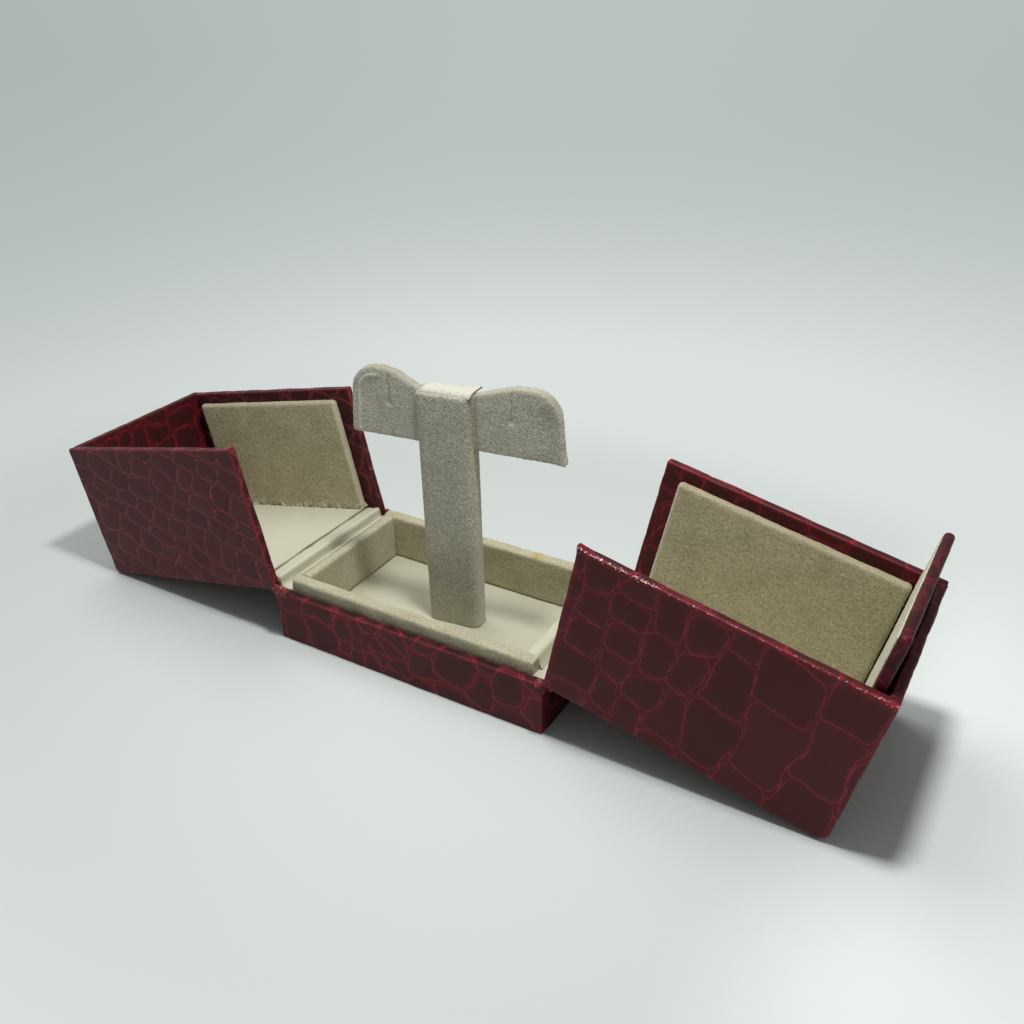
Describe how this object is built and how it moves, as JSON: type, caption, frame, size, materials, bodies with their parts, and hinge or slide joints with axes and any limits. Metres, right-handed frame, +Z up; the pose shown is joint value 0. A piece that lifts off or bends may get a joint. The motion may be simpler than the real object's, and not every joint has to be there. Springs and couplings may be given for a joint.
{
  "type": "presentation jewellery box",
  "caption": "Small leatherette jewellery box with two half lids that swing outwards, a flock-lined tray and a T-shaped flocked display stand.",
  "frame": {"origin": "centre of the tray's underside, on the table", "axes": "+X along the box from the left lid to the right lid, -Y is the front, +Z is up"},
  "size_m": [0.2008, 0.0424, 0.0645],
  "materials": {
    "leatherette": "satin",
    "greyboard": "matte",
    "flock": "matte",
    "smooth_lining": "matte",
    "stiff_card": "matte",
    "post_core": "matte",
    "post_cap": "matte",
    "underside_paper": "matte"
  },
  "bodies": {
    "tray": {"back_rim_flock": "flock", "base_back_board": "greyboard", "base_back_wrap": "leatherette", "base_floor_board": "greyboard", "base_front_board": "greyboard", "base_front_wrap": "leatherette", "base_left_end_board": "greyboard", "base_left_end_wrap": "leatherette", "base_right_end_board": "greyboard", "base_right_end_wrap": "leatherette", "earring_card": "stiff_card", "earring_card_back_flock": "flock", "earring_card_front_flock": "flock", "floor_lining": "smooth_lining", "front_rim_flock": "flock", "insert_floor_board": "greyboard", "left_hinge_fold": "leatherette", "left_ledge_lining": "smooth_lining", "left_rim_flock": "flock", "post_cap": "post_cap", "post_core": "post_core", "post_sleeve": "flock", "right_hinge_fold": "leatherette", "right_ledge_lining": "smooth_lining", "right_rim_flock": "flock", "rim_cores": "greyboard", "underside_paper": "underside_paper"},
    "left_lid": {"left_lid_back_board": "greyboard", "left_lid_back_pad_board": "greyboard", "left_lid_back_pad_flock": "flock", "left_lid_back_wrap": "leatherette", "left_lid_end_board": "greyboard", "left_lid_end_card": "smooth_lining", "left_lid_end_wrap": "leatherette", "left_lid_front_board": "greyboard", "left_lid_front_pad_board": "greyboard", "left_lid_front_pad_flock": "flock", "left_lid_front_wrap": "leatherette", "left_lid_hinge_lining": "smooth_lining", "left_lid_top_board": "greyboard", "left_lid_top_wrap": "leatherette"},
    "right_lid": {"right_lid_back_board": "greyboard", "right_lid_back_pad_board": "greyboard", "right_lid_back_pad_flock": "flock", "right_lid_back_wrap": "leatherette", "right_lid_end_board": "greyboard", "right_lid_end_card": "smooth_lining", "right_lid_end_wrap": "leatherette", "right_lid_front_board": "greyboard", "right_lid_front_pad_board": "greyboard", "right_lid_front_pad_flock": "flock", "right_lid_front_wrap": "leatherette", "right_lid_hinge_lining": "smooth_lining", "right_lid_tongue_board": "greyboard", "right_lid_tongue_flock": "flock", "right_lid_tongue_tab": "leatherette", "right_lid_tongue_wrap": "leatherette", "right_lid_top_board": "greyboard", "right_lid_top_wrap": "leatherette"}
  },
  "joints": [
    {"name": "left_lid_hinge", "type": "hinge", "parent": "tray", "child": "left_lid", "pos_m": [-0.035, 0, 0.0128], "axis": [0, 1, 0], "range_deg": [0, 102.47]},
    {"name": "right_lid_hinge", "type": "hinge", "parent": "tray", "child": "right_lid", "pos_m": [0.035, 0, 0.0128], "axis": [0, -1, 0], "range_deg": [0, 102.47]}
  ]
}
